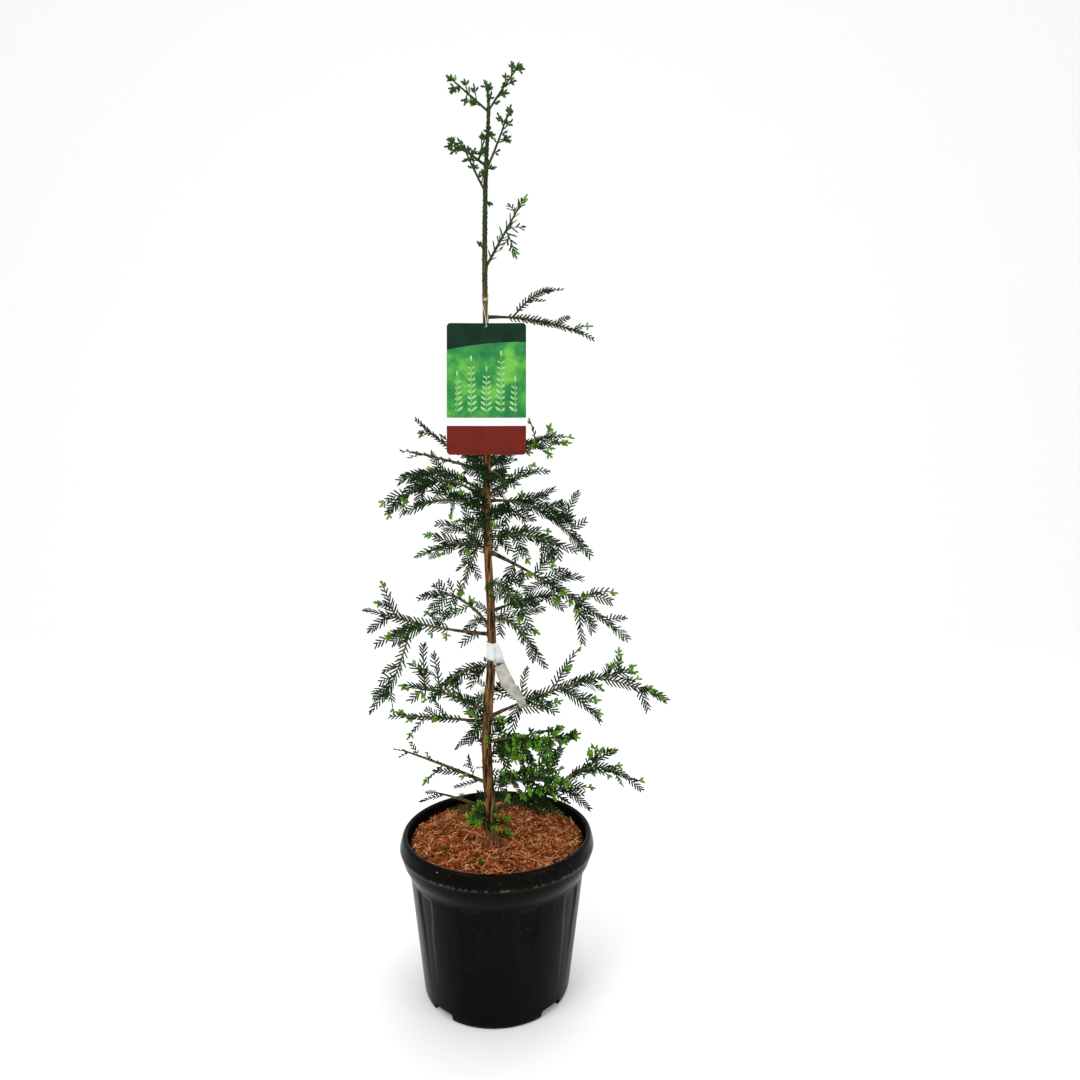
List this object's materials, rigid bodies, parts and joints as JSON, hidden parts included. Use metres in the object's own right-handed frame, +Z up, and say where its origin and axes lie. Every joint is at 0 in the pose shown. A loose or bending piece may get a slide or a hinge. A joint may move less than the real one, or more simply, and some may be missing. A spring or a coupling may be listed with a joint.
{
  "type": "young coast redwood in a nursery pot",
  "caption": "Slender evergreen sapling with a tapering trunk, flat needle sprays on drooping boughs and bright tips, in a round black nursery pot of shredded bark.",
  "frame": {"origin": "centre of the pot's flat underside", "axes": "+Z up the trunk, -Z out of the pot's underside, +X to the right and +Y away from the front, where the label hangs"},
  "size_m": [0.4727, 0.3251, 1.4685],
  "materials": {
    "pot": "near-black moulded plastic, satin, with bark dust on the rim",
    "mulch": "shredded red-brown bark fibres",
    "bark": "fibrous brown bark, olive to green towards the top",
    "needles": "dark green needles with bright green new tips",
    "card": "glossy printed card in plain green, white and dark red fields",
    "thread": "thin pale twine",
    "paper_band": "plain white wrap label"
  },
  "bodies": {
    "root": {"bark_mulch": "mulch", "bough_fan_right": "bark", "bough_label_right": "bark", "bough_lap_back": "bark", "bough_ledge_left": "bark", "bough_long_left": "bark", "bough_long_right": "bark", "bough_reach_right": "bark", "bough_shelf_left": "bark", "bough_sweep_left": "bark", "bough_sweep_right": "bark", "foliage_brow_back": "needles", "foliage_brow_front": "needles", "foliage_brow_left": "needles", "foliage_brow_right": "needles", "foliage_bush_front": "needles", "foliage_bush_low": "needles", "foliage_bush_right": "needles", "foliage_crown_front": "needles", "foliage_crown_left": "needles", "foliage_crown_right": "needles", "foliage_fan_right": "needles", "foliage_foot_shoot": "needles", "foliage_heart_back": "needles", "foliage_heart_front": "needles", "foliage_hook_right": "needles", "foliage_label_right": "needles", "foliage_lap_back": "needles", "foliage_lap_front": "needles", "foliage_leader": "needles", "foliage_ledge_left": "needles", "foliage_ledge_right": "needles", "foliage_long_left": "needles", "foliage_long_right": "needles", "foliage_low_back_left": "needles", "foliage_low_back_right": "needles", "foliage_lower_left": "needles", "foliage_plume_left": "needles", "foliage_plume_right": "needles", "foliage_reach_left": "needles", "foliage_reach_right": "needles", "foliage_shelf_left": "needles", "foliage_skirt_back": "needles", "foliage_step_left": "needles", "foliage_sweep_left": "needles", "foliage_sweep_right": "needles", "foliage_top_left": "needles", "foliage_top_right": "needles", "foliage_upper_right": "needles", "foliage_veiled_back": "needles", "foliage_veiled_left": "needles", "foliage_waist_back": "needles", "foliage_waist_front": "needles", "label": "card", "label_cord": "thread", "pot": "pot", "stem_band": "paper_band", "trunk": "bark"}
  },
  "joints": []
}
